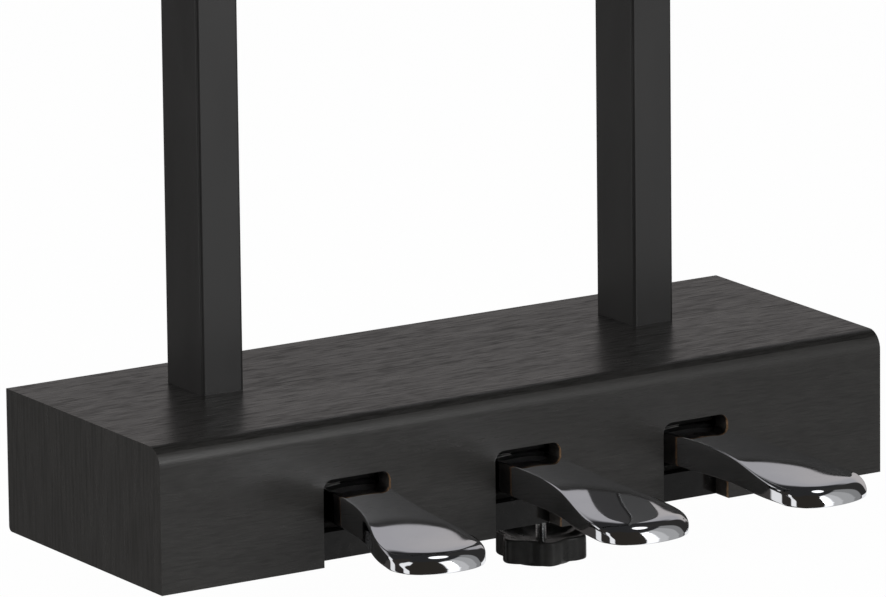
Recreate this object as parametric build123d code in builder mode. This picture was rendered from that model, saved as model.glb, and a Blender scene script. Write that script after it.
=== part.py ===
from build123d import *
import os
from math import radians, sin

# Pedal lyre of a digital piano: a foil-covered box with three sprung pedals, hung on two posts.
# X is to the right and Y to the back as the player sees it. Z is up.
# The origin is the centre of the head plate's top face, which bolts under the piano. Millimetres.

os.makedirs("parts", exist_ok=True)

UP = (Align.CENTER, Align.CENTER, Align.MIN)
DOWN = (Align.CENTER, Align.CENTER, Align.MAX)
SIDES = (("left", -1), ("centre", 0), ("right", 1))

# Driving dimensions: the box and its boards
box_width = 480.0
box_depth = 170.0
box_height = 83.0
edge_round = 10.5
board_t = 13.0
end_t = 12.0
end_corner_r = 3.0
back_t = 12.0
base_t = 16.0
block_size = 22.0
fit_gap = 0.05
face_gap = 0.3
parallel = 0.99
level = 0.9

# Driving dimensions: the posts and the head
post_x = 144.5
post_width = 27.0
post_depth = 40.0
post_length = 480.0
post_wall = 1.6
post_round = 2.0
post_setback = 91.0
plug_length = 24.0
plate_t = 6.0
plate_width = 330.0
plate_depth = 60.0
plate_corner_r = 6.0
mount_pitch_x = 200.0
mount_pitch_y = 40.0
mount_hole_r = 3.5
bolt_r = 3.0
bolt_pitch = 19.0
bolt_grip = 14.0
bolt_head_r = 5.0
bolt_head_h = 4.0
bolt_hole_r = 3.3
sunk_head_r = 6.0
sunk_head_h = 3.3
washer_r = 6.0
washer_t = 1.6
spreader_width = 60.0
spreader_depth = 44.0
spreader_t = 3.0

# Driving dimensions: the pedals and their slots, heights above the box's underside
pedal_pitch = 113.0
pedal_splay = 7.8
centre_forward = 9.5
slot_width = 44.0
slot_height = 50.0
slot_round = 6.0
arm_width = 33.4
arm_top = 43.5
arm_bottom = 25.2
blade_width = 58.0
blade_reach = 128.0
blade_top = 35.4
blade_wall = 4.5
blade_roof = 6.8
blade_nose = 9.0
tip_length = 26.0
flare_start = 34.0
bend_start = 10.0
rim_round = 3.0
under_round = 1.0
pivot_back = 80.0
pivot_height = 35.0
pivot_r = 4.0
hub_r = 10.5
pedal_travel = 5.0
tail_back = 135.0
spring_back = 122.0

# Driving dimensions: the hinge, the springs and the stops
bush_wall = 1.5
bush_flange_r = 8.0
bush_flange_t = 1.2
bracket_t = 2.5
bracket_length = 26.0
bracket_ear_r = 10.0
bracket_foot = 14.0
bracket_screw_r = 2.0
bracket_screw_length = 12.0
bracket_screw_head_r = 3.8
bracket_screw_head_h = 2.4
pin_head_r = 6.0
pin_head_t = 2.0
pin_tail = 3.0
clip_r = 6.5
clip_t = 1.0
spring_r = 7.1
spring_wire_r = 0.9
spring_turns = 6.0
seat_r = 10.0
seat_t = 2.0
seat_spigot_r = 5.6
seat_spigot_h = 5.0
cup_r = 11.0
cup_h = 4.0
cup_bore_r = 8.4
cup_floor = 1.5
rail_depth = 18.0
felt_t = 3.0
felt_width = 40.0
stop_back = 20.0
stop_length = 14.0
stop_width = 24.0

# Driving dimensions: the sensors and the lead's socket
flag_t = 1.6
flag_plate_t = 2.0
flag_plate_width = 12.0
flag_reach = 12.0
flag_bottom = 26.5
flag_top = 40.0
sensor_width = 13.0
sensor_length = 10.0
sensor_height = 11.0
sensor_slot = 4.0
sensor_floor = 2.4
sensor_gap = 0.8
circuit_width = 224.0
circuit_depth = 30.0
circuit_t = 1.6
circuit_back_gap = 2.0
standoff_r = 3.5
standoff_h = 5.0
standoff_inset = 5.0
standoff_screw_r = 1.5
standoff_screw_head_r = 2.8
standoff_screw_head_h = 1.6
socket_x = -62.0
socket_size = 14.0
socket_bore_r = 4.75
socket_bore_depth = 8.5
socket_inside = 12.0
socket_proud = 1.0
socket_pin_r = 0.7
socket_pin_circle_r = 2.4
socket_pin_depth = 3.0
socket_pins = 4
socket_pin_turn = 45.0

# Driving dimensions: the height adjuster under the box
adjuster_x = 57.0
adjuster_back = 77.0
knob_gap = 24.8
knob_r = 26.2
knob_height = 14.5
knob_lobes = 6
knob_notch_r = 11.0
knob_notch_depth = 4.6
knob_lobe_round = 7.0
knob_first_notch = 39.5
knob_edge_r = 1.8
knob_dish_r = 19.0
knob_dish_depth = 1.6
screw_r = 3.0
screw_above = 6.0
screw_in_knob = 6.0
nut_r = 4.0
nut_length = 13.0
nut_flange_r = 9.0
nut_flange_t = 1.5
foot_r = 18.0
foot_recess = 3.5
foot_proud = 1.5
foot_stem_r = 4.0
foot_stem_h = 4.0
wood_screw_r = 2.0
wood_screw_length = 34.0
wood_screw_head_r = 4.0
wood_screw_head_h = 2.4

# Places worked out from the driving dimensions
post_top = -plate_t
box_top = post_top - post_length
box_bottom = box_top - box_height
top_under = box_top - board_t
base_top = box_bottom + base_t
front_y = -(post_setback + post_depth / 2)
back_y = front_y + box_depth
front_inner = front_y + board_t
back_inner = back_y - back_t
half_inner = box_width / 2 - end_t
knob_top = box_bottom - knob_gap
knob_bottom = knob_top - knob_height
knob_notch_away = knob_r + knob_notch_r - knob_notch_depth
adjuster_y = front_y + adjuster_back
bush_r = pivot_r + bush_wall
blade_shoulder = blade_reach - tip_length
ear_inner = arm_width / 2 + bush_flange_t + face_gap
ear_outer = ear_inner + bracket_t
foot_outer = ear_outer + bracket_foot
bracket_screw_across = foot_outer - bracket_foot / 2
circuit_bottom = base_top + standoff_h
circuit_top = circuit_bottom + circuit_t
circuit_y = back_inner - circuit_back_gap - circuit_depth / 2
wood_hole_r = wood_screw_r + fit_gap
wood_sink_r = wood_screw_head_r + fit_gap

block_x = half_inner - block_size / 2
block_rows = (front_inner + block_size / 2, (front_inner + back_inner) / 2, back_inner - block_size / 2)
block_spots = [(side * block_x, y) for side in (-1, 1) for y in block_rows]
bolt_spots = [(side * post_x, end * bolt_pitch / 2) for side in (-1, 1) for end in (-1, 1)]
standoff_x = circuit_width / 2 - standoff_inset
standoff_y = circuit_depth / 2 - standoff_inset
standoff_spots = [(sx * standoff_x, circuit_y + sy * standoff_y) for sx in (-1, 1) for sy in (-1, 1)]


def keep(block, name):
    block.part.label = name
    export_step(block.part, f"parts/{name}.step")


def pedal_forward(side):
    return 0.0 if side else centre_forward


def pedal_frame(side):
    """Plane of one pedal: x across it, y to the back, z up, from the foot of its slot."""
    origin = (side * pedal_pitch, front_y - pedal_forward(side), box_bottom)
    return Plane(origin=origin, x_dir=Vector(1, 0, 0).rotate(Axis.Z, side * pedal_splay), z_dir=(0, 0, 1))


def side_plane(frame, across):
    """Upright plane along a pedal: its x runs to the back, its y runs up, its normal across."""
    return Plane(origin=frame.from_local_coords((across, 0, 0)), x_dir=frame.y_dir, z_dir=frame.x_dir)


def spot(frame, across, back, up, turn=(0, 0, 0)):
    return frame.location * Location((across, back, up), turn)


# Boards of the box. The top and the front meet in a mitre under one foil skin.
arc_y = front_y + edge_round
arc_z = box_top - edge_round

with BuildPart() as top_board:
    with BuildSketch(Plane.YZ.offset(-half_inner)):
        with BuildLine():
            fold = CenterArc((arc_y, arc_z), edge_round, 135, -45)
            Polyline(fold @ 1, (back_y, box_top), (back_y, top_under), (front_inner, top_under), fold @ 0)
        make_face()
    extrude(amount=2 * half_inner)
    with Locations(*[(x, y, box_top) for x, y in bolt_spots]):
        Cylinder(bolt_hole_r, board_t, align=DOWN, mode=Mode.SUBTRACT)
keep(top_board, "top_board")

with BuildPart() as front_panel:
    with BuildSketch(Plane.YZ.offset(-half_inner)):
        with BuildLine():
            fold = CenterArc((arc_y, arc_z), edge_round, 180, -45)
            inner = ((front_inner, top_under), (front_inner, box_bottom))
            Polyline(fold @ 1, *inner, (front_y, box_bottom), fold @ 0)
        make_face()
    extrude(amount=2 * half_inner)
    with BuildSketch(Plane.XZ.offset(-front_y)):
        for name, side in SIDES:
            left = side * pedal_pitch - slot_width / 2
            right = left + slot_width
            slot_top = box_bottom + slot_height
            with BuildLine():
                roof = ((left, slot_top), (right, slot_top))
                FilletPolyline((left, box_bottom), *roof, (right, box_bottom), radius=slot_round)
                Line((right, box_bottom), (left, box_bottom))
            make_face()
    extrude(amount=-board_t, mode=Mode.SUBTRACT)
keep(front_panel, "front_panel")

with BuildPart() as back_panel:
    with Locations((0, back_y - back_t / 2, box_bottom)):
        Box(2 * half_inner, back_t, top_under - box_bottom, align=UP)
    with Locations((socket_x, back_y - back_t / 2, circuit_top - face_gap)):
        hole = socket_size + 2 * face_gap
        Box(hole, back_t, hole, align=UP, mode=Mode.SUBTRACT)
keep(back_panel, "back_panel")

for name, start in (("left_end_panel", -box_width / 2), ("right_end_panel", half_inner)):
    with BuildPart() as end_panel:
        with BuildSketch(Plane.YZ.offset(start)):
            with BuildLine():
                fold = CenterArc((arc_y, arc_z), edge_round, 180, -90)
                corner = CenterArc((back_y - end_corner_r, box_bottom + end_corner_r), end_corner_r, 0, -90)
                Polyline(fold @ 1, (back_y, box_top), corner @ 0)
                Polyline(corner @ 1, (front_y, box_bottom), fold @ 0)
            make_face()
        extrude(amount=end_t)
    keep(end_panel, name)

with BuildPart() as base_board:
    with Locations((0, (front_inner + back_inner) / 2, box_bottom)):
        Box(2 * half_inner, back_inner - front_inner, base_t, align=UP)
    with Locations((adjuster_x, adjuster_y, box_bottom)):
        Cylinder(nut_r + fit_gap, base_t, align=UP, mode=Mode.SUBTRACT)
    with Locations(*[(x, y, box_bottom) for x, y in block_spots]):
        Cone(wood_sink_r, wood_hole_r, wood_screw_head_h, align=UP, mode=Mode.SUBTRACT)
        Cylinder(wood_hole_r, base_t, align=UP, mode=Mode.SUBTRACT)
    for name, side in SIDES:
        for across in (-bracket_screw_across, bracket_screw_across):
            with Locations(spot(pedal_frame(side), across, pivot_back, base_t)):
                with GridLocations(1, bracket_length / 2, 1, 2):
                    Cylinder(bracket_screw_r + fit_gap, bracket_screw_length, align=DOWN, mode=Mode.SUBTRACT)
keep(base_board, "base_board")

with BuildPart() as corner_blocks:
    with Locations(*[(x, y, base_top) for x, y in block_spots]):
        Box(block_size, block_size, top_under - base_top, align=UP)
    with Locations(*[(x, y, base_top) for x, y in block_spots]):
        Cylinder(wood_hole_r, wood_screw_length - base_t, align=UP, mode=Mode.SUBTRACT)
keep(corner_blocks, "corner_blocks")

with BuildPart() as base_screws:
    with Locations(*[(x, y, box_bottom) for x, y in block_spots]):
        Cone(wood_screw_head_r, wood_screw_r, wood_screw_head_h, align=UP)
        Cylinder(wood_screw_r, wood_screw_length, align=UP)
keep(base_screws, "base_screws")

# Posts: rectangular tubes with a threaded plug in each end
for name, side in (("left_post", -1), ("right_post", 1)):
    with BuildPart() as post:
        with BuildSketch(Plane((side * post_x, 0, box_top))):
            RectangleRounded(post_width, post_depth, post_round)
            Rectangle(post_width - 2 * post_wall, post_depth - 2 * post_wall, mode=Mode.SUBTRACT)
        extrude(amount=post_length)
    keep(post, name)

for name, z, align in (("post_lower_plugs", box_top, UP), ("post_upper_plugs", post_top, DOWN)):
    with BuildPart() as plugs:
        with Locations((-post_x, 0, z), (post_x, 0, z)):
            Box(
                post_width - 2 * post_wall - 2 * fit_gap,
                post_depth - 2 * post_wall - 2 * fit_gap,
                plug_length,
                align=align,
            )
        with Locations(*[(x, y, z) for x, y in bolt_spots]):
            Cylinder(bolt_r + fit_gap, plug_length, align=align, mode=Mode.SUBTRACT)
    keep(plugs, name)

with BuildPart() as spreader_plates:
    with Locations((-post_x, 0, top_under), (post_x, 0, top_under)):
        Box(spreader_width, spreader_depth, spreader_t, align=DOWN)
    with Locations(*[(x, y, top_under) for x, y in bolt_spots]):
        Cylinder(bolt_hole_r, spreader_t, align=DOWN, mode=Mode.SUBTRACT)
keep(spreader_plates, "spreader_plates")

washer_top = top_under - spreader_t
with BuildPart() as post_washers:
    with Locations(*[(x, y, washer_top) for x, y in bolt_spots]):
        Cylinder(washer_r, washer_t, align=DOWN)
        Cylinder(bolt_hole_r, washer_t, align=DOWN, mode=Mode.SUBTRACT)
keep(post_washers, "post_washers")

head_z = washer_top - washer_t
with BuildPart() as post_bolts:
    for x, y in bolt_spots:
        with BuildSketch(Plane((x, y, head_z - bolt_head_h))):
            RegularPolygon(bolt_head_r, 6, major_radius=False)
        extrude(amount=bolt_head_h)
        with Locations((x, y, head_z)):
            Cylinder(bolt_r, box_top + bolt_grip - head_z, align=UP)
keep(post_bolts, "post_bolts")

with BuildPart() as head_plate:
    with BuildSketch(Plane.XY.offset(post_top)):
        RectangleRounded(plate_width, plate_depth, plate_corner_r)
        with GridLocations(mount_pitch_x, mount_pitch_y, 2, 2):
            Circle(mount_hole_r, mode=Mode.SUBTRACT)
        with Locations(*bolt_spots):
            Circle(bolt_hole_r, mode=Mode.SUBTRACT)
    extrude(amount=plate_t)
    with Locations(*[(x, y, 0) for x, y in bolt_spots]):
        Cone(bolt_hole_r, sunk_head_r + fit_gap, sunk_head_h, align=DOWN, mode=Mode.SUBTRACT)
keep(head_plate, "head_plate")

with BuildPart() as head_screws:
    with Locations(*[(x, y, 0) for x, y in bolt_spots]):
        Cone(bolt_r, sunk_head_r, sunk_head_h, align=DOWN)
        Cylinder(bolt_r, plate_t + bolt_grip, align=DOWN)
keep(head_screws, "head_screws")

# Stops: a batten behind the front panel holds the upper felts, rubber blocks stand on the base
rail_bottom = box_bottom + arm_top + felt_t + face_gap
rail_y = front_inner + rail_depth / 2
with BuildPart() as stop_rail:
    with Locations((0, rail_y, rail_bottom)):
        Box(2 * (half_inner - block_size), rail_depth, top_under - rail_bottom, align=UP)
keep(stop_rail, "stop_rail")

with BuildPart() as stop_felts:
    with Locations(*[(side * pedal_pitch, rail_y, rail_bottom) for name, side in SIDES]):
        Box(felt_width, rail_depth, felt_t, align=DOWN)
keep(stop_felts, "stop_felts")

with BuildPart() as stop_pads:
    for name, side in SIDES:
        near = stop_back + pedal_forward(side)
        drop = (pivot_back - near) * sin(radians(pedal_travel))
        with Locations(spot(pedal_frame(side), 0, near + stop_length / 2, base_t)):
            Box(stop_width, stop_length, arm_bottom - base_t - drop - 2 * face_gap, align=UP)
keep(stop_pads, "stop_pads")


# Pedals: cast levers with a blade and an arm in front of the hub and a tail behind it
def pedal_plan(frame):
    """Outline of a pedal from above: tail and arm, flare and rounded tip."""
    arm = arm_width / 2
    blade = blade_width / 2
    with BuildSketch(frame) as plan:
        with BuildLine():
            right = Spline((arm, -flare_start), (blade, -blade_shoulder), tangents=((0, -1), (0, -1)))
            left = Spline((-arm, -flare_start), (-blade, -blade_shoulder), tangents=((0, -1), (0, -1)))
            EllipticalCenterArc((0, -blade_shoulder), blade, tip_length, start_angle=180, arc_size=180)
            Polyline(right @ 0, (arm, tail_back), (-arm, tail_back), left @ 0)
        make_face()
    return plan.sketch


def is_across(edge, frame):
    return edge.geom_type == GeomType.LINE and abs((edge % 0.5).dot(frame.x_dir)) > parallel


def make_pedal(frame, name):
    with BuildPart() as pedal:
        with BuildSketch(side_plane(frame, -blade_width / 2)):
            with BuildLine():
                ahead = ((-1, 0), (-1, 0))
                top = Spline((-bend_start, arm_top), (-blade_shoulder, blade_top), tangents=ahead)
                nose = ((-blade_reach, blade_top), (-blade_reach, arm_bottom))
                Polyline(top @ 1, *nose, (tail_back, arm_bottom), (tail_back, arm_top), top @ 0)
            make_face()
        extrude(amount=blade_width)
        extrude(pedal_plan(frame), amount=box_height, mode=Mode.INTERSECT)
        upper = pedal.faces().filter_by(lambda face: face.normal_at().Z > level)
        lower = pedal.faces().filter_by(lambda face: face.normal_at().Z < -level)
        fillet(upper.edges().filter_by(lambda edge: not is_across(edge, frame)), rim_round)
        fillet(lower.edges().filter_by(lambda edge: not is_across(edge, frame)), under_round)
        pocket_half = arm_width / 2 - blade_wall
        with BuildSketch(side_plane(frame, -pocket_half)):
            with BuildLine():
                near = -bend_start - blade_wall
                far = blade_nose - blade_reach
                Polyline(
                    (near, 0), (near, arm_top - blade_roof), (far, blade_top - blade_roof), (far, 0),
                    close=True,
                )
            make_face()
        extrude(amount=2 * pocket_half, mode=Mode.SUBTRACT)
        with Locations(spot(frame, 0, pivot_back, pivot_height, (0, 90, 0))):
            Cylinder(hub_r, arm_width)
            Cylinder(bush_r + fit_gap, arm_width, mode=Mode.SUBTRACT)
    keep(pedal, name)


# Hinges: each lever turns on flanged bushes about a pin held between two ears
def make_bushes(frame, name):
    with BuildPart() as bushes:
        for side in (-1, 1):
            inner = side * (arm_width + face_gap) / 4
            with Locations(spot(frame, inner, pivot_back, pivot_height, (0, 90, 0))):
                Cylinder(bush_r, (arm_width - face_gap) / 2)
            flange = side * (arm_width + bush_flange_t) / 2
            with Locations(spot(frame, flange, pivot_back, pivot_height, (0, 90, 0))):
                Cylinder(bush_flange_r, bush_flange_t)
        with Locations(spot(frame, 0, pivot_back, pivot_height, (0, 90, 0))):
            Cylinder(pivot_r + fit_gap, 2 * ear_inner, mode=Mode.SUBTRACT)
    keep(bushes, name)


def make_bracket(frame, name):
    with BuildPart() as bracket:
        with Locations(spot(frame, 0, pivot_back, base_t)):
            Box(2 * foot_outer, bracket_length, bracket_t, align=UP)
        for inner in (-ear_outer, ear_inner):
            with BuildSketch(side_plane(frame, inner)):
                with Locations((pivot_back, pivot_height)):
                    Circle(bracket_ear_r)
                with Locations((pivot_back, base_t)):
                    Rectangle(2 * bracket_ear_r, pivot_height - base_t, align=(Align.CENTER, Align.MIN))
                with Locations((pivot_back, pivot_height)):
                    Circle(pivot_r + fit_gap, mode=Mode.SUBTRACT)
            extrude(amount=bracket_t)
        for across in (-bracket_screw_across, bracket_screw_across):
            with Locations(spot(frame, across, pivot_back, base_t)):
                with GridLocations(1, bracket_length / 2, 1, 2):
                    Cylinder(bracket_screw_r + fit_gap, bracket_t, align=UP, mode=Mode.SUBTRACT)
    keep(bracket, name)


def make_pin(frame, name):
    length = 2 * ear_outer + pin_tail
    with BuildPart() as pin:
        with Locations(spot(frame, pin_tail / 2, pivot_back, pivot_height, (0, 90, 0))):
            Cylinder(pivot_r, length)
        with Locations(spot(frame, -ear_outer - pin_head_t / 2, pivot_back, pivot_height, (0, 90, 0))):
            Cylinder(pin_head_r, pin_head_t)
    keep(pin, name)


# Springs: each presses its lever's tail down, which holds the arm up against its felt
spring_bottom = arm_top + seat_t
spring_top = top_under - box_bottom - cup_floor


def make_spring(frame, name):
    height = spring_top - spring_bottom - 2 * spring_wire_r
    start = frame.from_local_coords((0, spring_back, spring_bottom + spring_wire_r))
    with BuildPart() as spring:
        with BuildLine(Plane(start)):
            coil = Helix(height / spring_turns, height, spring_r)
        with BuildSketch(Plane(coil @ 0, z_dir=coil % 0)):
            Circle(spring_wire_r)
        sweep(path=coil, is_frenet=True)
    keep(spring, name)


def make_seat(frame, name):
    with BuildPart() as seat:
        with Locations(spot(frame, 0, spring_back, arm_top)):
            Cylinder(seat_r, seat_t, align=UP)
            Cylinder(seat_spigot_r, seat_t + seat_spigot_h, align=UP)
    keep(seat, name)


# Sensor flags on the tails
def make_flag(frame, name):
    plate_height = arm_top - arm_bottom - 2 * rim_round
    with BuildPart() as flag:
        with Locations(spot(frame, 0, tail_back + flag_plate_t / 2, (arm_top + arm_bottom) / 2)):
            Box(flag_plate_width, flag_plate_t, plate_height)
        with Locations(spot(frame, 0, tail_back + flag_plate_t + flag_reach / 2, flag_bottom)):
            Box(flag_t, flag_reach, flag_top - flag_bottom, align=UP)
    keep(flag, name)


for name, side in SIDES:
    frame = pedal_frame(side)
    make_pedal(frame, f"{name}_pedal")
    make_bushes(frame, f"{name}_pivot_bushes")
    make_bracket(frame, f"{name}_hinge_bracket")
    make_pin(frame, f"{name}_pivot_pin")
    make_spring(frame, f"{name}_return_spring")
    make_seat(frame, f"{name}_spring_seat")
    make_flag(frame, f"{name}_sensor_flag")

with BuildPart() as pin_clips:
    for name, side in SIDES:
        clip_middle = ear_outer + clip_t / 2
        with Locations(spot(pedal_frame(side), clip_middle, pivot_back, pivot_height, (0, 90, 0))):
            Cylinder(clip_r, clip_t)
            Cylinder(pivot_r + fit_gap, clip_t, mode=Mode.SUBTRACT)
keep(pin_clips, "pin_clips")

with BuildPart() as bracket_screws:
    for name, side in SIDES:
        for across in (-bracket_screw_across, bracket_screw_across):
            with Locations(spot(pedal_frame(side), across, pivot_back, base_t + bracket_t)):
                with GridLocations(1, bracket_length / 2, 1, 2):
                    Cylinder(bracket_screw_head_r, bracket_screw_head_h, align=UP)
                    Cylinder(bracket_screw_r, bracket_screw_length, align=DOWN)
keep(bracket_screws, "bracket_screws")

with BuildPart() as spring_cups:
    for name, side in SIDES:
        with Locations(spot(pedal_frame(side), 0, spring_back, spring_top + cup_floor)):
            Cylinder(cup_r, cup_h, align=DOWN)
        with Locations(spot(pedal_frame(side), 0, spring_back, spring_top)):
            Cylinder(cup_bore_r, cup_h - cup_floor, align=DOWN, mode=Mode.SUBTRACT)
keep(spring_cups, "spring_cups")

# Circuit board behind the tails with a slotted sensor for each flag
with BuildPart() as circuit_board:
    with Locations((0, circuit_y, circuit_bottom)):
        Box(circuit_width, circuit_depth, circuit_t, align=UP)
    with Locations(*[(x, y, circuit_bottom) for x, y in standoff_spots]):
        Cylinder(standoff_screw_r + fit_gap, circuit_t, align=UP, mode=Mode.SUBTRACT)
keep(circuit_board, "circuit_board")

with BuildPart() as circuit_standoffs:
    with Locations(*[(x, y, base_top) for x, y in standoff_spots]):
        Cylinder(standoff_r, standoff_h, align=UP)
        Cylinder(standoff_screw_r + fit_gap, standoff_h, align=UP, mode=Mode.SUBTRACT)
keep(circuit_standoffs, "circuit_standoffs")

with BuildPart() as circuit_screws:
    with Locations(*[(x, y, circuit_top) for x, y in standoff_spots]):
        Cylinder(standoff_screw_head_r, standoff_screw_head_h, align=UP)
        Cylinder(standoff_screw_r, circuit_t + standoff_h, align=DOWN)
keep(circuit_screws, "circuit_screws")

sensor_back = tail_back + flag_plate_t + sensor_gap + sensor_length / 2
sensor_up = circuit_top - box_bottom
with BuildPart() as flag_sensors:
    for name, side in SIDES:
        with Locations(spot(pedal_frame(side), 0, sensor_back, sensor_up)):
            Box(sensor_width, sensor_length, sensor_height, align=UP)
        with Locations(spot(pedal_frame(side), 0, sensor_back, sensor_up + sensor_floor)):
            Box(sensor_slot, sensor_length, sensor_height, align=UP, mode=Mode.SUBTRACT)
keep(flag_sensors, "flag_sensors")

socket_face = back_y + socket_proud
socket_length = socket_face - back_inner + socket_inside
with BuildPart() as lead_socket:
    with Locations((socket_x, socket_face - socket_length / 2, circuit_top)):
        Box(socket_size, socket_length, socket_size, align=UP)
    with Locations(Location((socket_x, socket_face, circuit_top + socket_size / 2), (-90, 0, 0))):
        Cylinder(socket_bore_r, socket_bore_depth, align=DOWN, mode=Mode.SUBTRACT)
        with PolarLocations(socket_pin_circle_r, socket_pins, start_angle=socket_pin_turn):
            Cylinder(socket_pin_r, socket_bore_depth + socket_pin_depth, align=DOWN, mode=Mode.SUBTRACT)
keep(lead_socket, "lead_socket")

# Height adjuster: star knob on a threaded stud, turning in a flanged nut under the base
with BuildPart() as adjuster_nut:
    with Locations((adjuster_x, adjuster_y, box_bottom)):
        Cylinder(nut_flange_r, nut_flange_t, align=DOWN)
        Cylinder(nut_r, nut_length, align=UP)
    with Locations((adjuster_x, adjuster_y, box_bottom - nut_flange_t)):
        Cylinder(screw_r + fit_gap, nut_flange_t + nut_length, align=UP, mode=Mode.SUBTRACT)
keep(adjuster_nut, "adjuster_nut")

with BuildPart() as adjuster_screw:
    with Locations((adjuster_x, adjuster_y, knob_top - screw_in_knob)):
        Cylinder(screw_r, base_top + screw_above - knob_top + screw_in_knob, align=UP)
keep(adjuster_screw, "adjuster_screw")

with BuildPart() as adjuster_knob:
    with BuildSketch(Plane((adjuster_x, adjuster_y, knob_bottom))):
        Circle(knob_r)
        with PolarLocations(knob_notch_away, knob_lobes, start_angle=knob_first_notch):
            lobes = Circle(knob_notch_r, mode=Mode.SUBTRACT)
        fillet(lobes.vertices(), knob_lobe_round)
    extrude(amount=knob_height)
    fillet(adjuster_knob.faces().sort_by(Axis.Z)[-1].edges(), knob_edge_r)
    with Locations((adjuster_x, adjuster_y, knob_top)):
        Cone(screw_r, knob_dish_r, knob_dish_depth, align=DOWN, mode=Mode.SUBTRACT)
        Cylinder(screw_r + fit_gap, screw_in_knob, align=DOWN, mode=Mode.SUBTRACT)
    with Locations((adjuster_x, adjuster_y, knob_bottom)):
        Cylinder(foot_r + face_gap, foot_recess, align=UP, mode=Mode.SUBTRACT)
        Cylinder(foot_stem_r + fit_gap, foot_recess + foot_stem_h, align=UP, mode=Mode.SUBTRACT)
keep(adjuster_knob, "adjuster_knob")

with BuildPart() as foot_pad:
    with Locations((adjuster_x, adjuster_y, knob_bottom - foot_proud)):
        Cylinder(foot_r, foot_proud + foot_recess - face_gap, align=UP)
        Cylinder(foot_stem_r, foot_proud + foot_recess + foot_stem_h - face_gap, align=UP)
keep(foot_pad, "foot_pad")
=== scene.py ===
import math

import bmesh
import bpy
from mathutils import Matrix, Vector


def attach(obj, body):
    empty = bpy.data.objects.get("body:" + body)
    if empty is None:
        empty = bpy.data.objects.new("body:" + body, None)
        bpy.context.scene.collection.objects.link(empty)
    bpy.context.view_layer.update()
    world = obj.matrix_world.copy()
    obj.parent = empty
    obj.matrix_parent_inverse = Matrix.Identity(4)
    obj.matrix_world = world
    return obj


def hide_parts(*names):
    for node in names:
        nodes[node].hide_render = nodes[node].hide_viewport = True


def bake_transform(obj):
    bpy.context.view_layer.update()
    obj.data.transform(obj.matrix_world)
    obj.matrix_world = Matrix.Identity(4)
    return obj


# Pedal lyre of a digital piano: black wood-grain box, chrome pedals, two posts, a knob underneath.
# Metres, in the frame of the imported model: X to the right, Y to the back, Z up.

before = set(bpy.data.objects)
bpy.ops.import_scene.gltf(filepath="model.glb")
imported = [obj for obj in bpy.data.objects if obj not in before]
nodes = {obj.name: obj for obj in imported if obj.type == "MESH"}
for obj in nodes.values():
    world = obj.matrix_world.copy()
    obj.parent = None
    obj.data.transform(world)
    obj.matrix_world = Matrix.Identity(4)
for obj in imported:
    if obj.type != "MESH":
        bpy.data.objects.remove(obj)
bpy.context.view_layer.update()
scene = bpy.context.scene

# Places on the object
FRONT_Y = -0.111
BOX_BOTTOM = -0.569
BASE_TOP = -0.553
PANEL_BACK = -0.098
SLOT_TOP = -0.519
FLOOR_Z = -0.6098

# Pedals, measured in their own frame: across, along to the front, up from the box's underside
PEDAL_PITCH = 0.113
PEDAL_SPLAY = math.radians(7.8)
PEDAL_TRAVEL = math.radians(5.0)
CENTRE_FORWARD = 0.0095
ARM_HALF = 0.0167
BLADE_HALF = 0.029
FLARE_START = 0.034
SHOULDER = 0.102
TIP_LENGTH = 0.0254
TIP_POWER = 2.25
ARM_TOP = 0.0436
UNDERSIDE = 0.0252
FALL = 0.098
FALL_FROM = (0.010, 0.036)
LEVELLING = 0.038
LEVEL_FROM = (0.080, 0.110)
ARM_CROWN = 5.0
TIP_CROWN = 2.2
CROWN_FROM = (0.015, 0.105)
RIM = 0.0042
TIP_RIM = 0.0060
SIDE_DROP = 0.0022
ROUNDING_FROM = (0.058, 0.112)
SIDE_LOOP = 0.72
SOLE = 0.0010
NOSE_LIP = 0.0009
LIP_FROM = 0.107
HOLLOW_FROM = (0.010, 0.106)
HOLLOW_WALL = 0.0016
HOLLOW_DEPTH = 0.0042
PIVOT_BACK = 0.080
PIVOT_UP = 0.035
HUB_RADIUS = 0.0105
HUB_POINTS = 96
HUB_CLEARANCE = 0.0004
BORE_RADIUS = 0.00555
BORE_POINTS = 64
SIDES = (("left", -1), ("centre", 0), ("right", 1))

# Return springs over the pedals' tails
SPRING_BACK = 0.122
SPRING_LOW = 0.0455
SPRING_HIGH = 0.0685
SPRING_RADIUS = 0.0071
WIRE_RADIUS = 0.0009
WIRE_POINTS = 12
SPRING_TURNS = 6
STEPS_PER_TURN = 28

# Felts over the pedals' arms and under them
FELT_HALF = 0.020
FELT_DEPTH = 0.018
FELT_LOW = BOX_BOTTOM + 0.0438
# Below this height the upper felts carry a painted highlight
FELT_HIGHLIGHT_LINE = BOX_BOTTOM + 0.0441
FELT_HIGH = BOX_BOTTOM + 0.0468
FELT_EDGE = 0.0007
STOP_HALF = 0.012
STOP_NEAR = 0.020
STOP_LENGTH = 0.014
STOP_GAP = 0.0006
STOP_EDGE = 0.0008

# Height adjuster
ADJUSTER_X = 0.057
ADJUSTER_Y = -0.034
KNOB_TOP = -0.5938
KNOB_BOTTOM = -0.6083
KNOB_LOBES = 6
KNOB_FIRST_NOTCH = math.radians(39.5)
SCREW_TOP = -0.547
SCREW_LOW = -0.5998
THREAD_PITCH = 0.001
THREAD_CREST = 0.00298
THREAD_ROOT = 0.00245
FOOT_RADIUS = 0.018
FOOT_POINTS = 72
FOOT_HEIGHT = 0.0047
FOOT_EDGE = 0.0005
FOOT_RECESS = 0.0035
FOOT_GAP = 0.0003
RECESS_POINTS = 96
STEM_RADIUS = 0.004
STEM_HEIGHT = 0.0040
STEM_BORE = 0.0075
STEM_GAP = 0.00005
STEM_POINTS = 48

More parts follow.
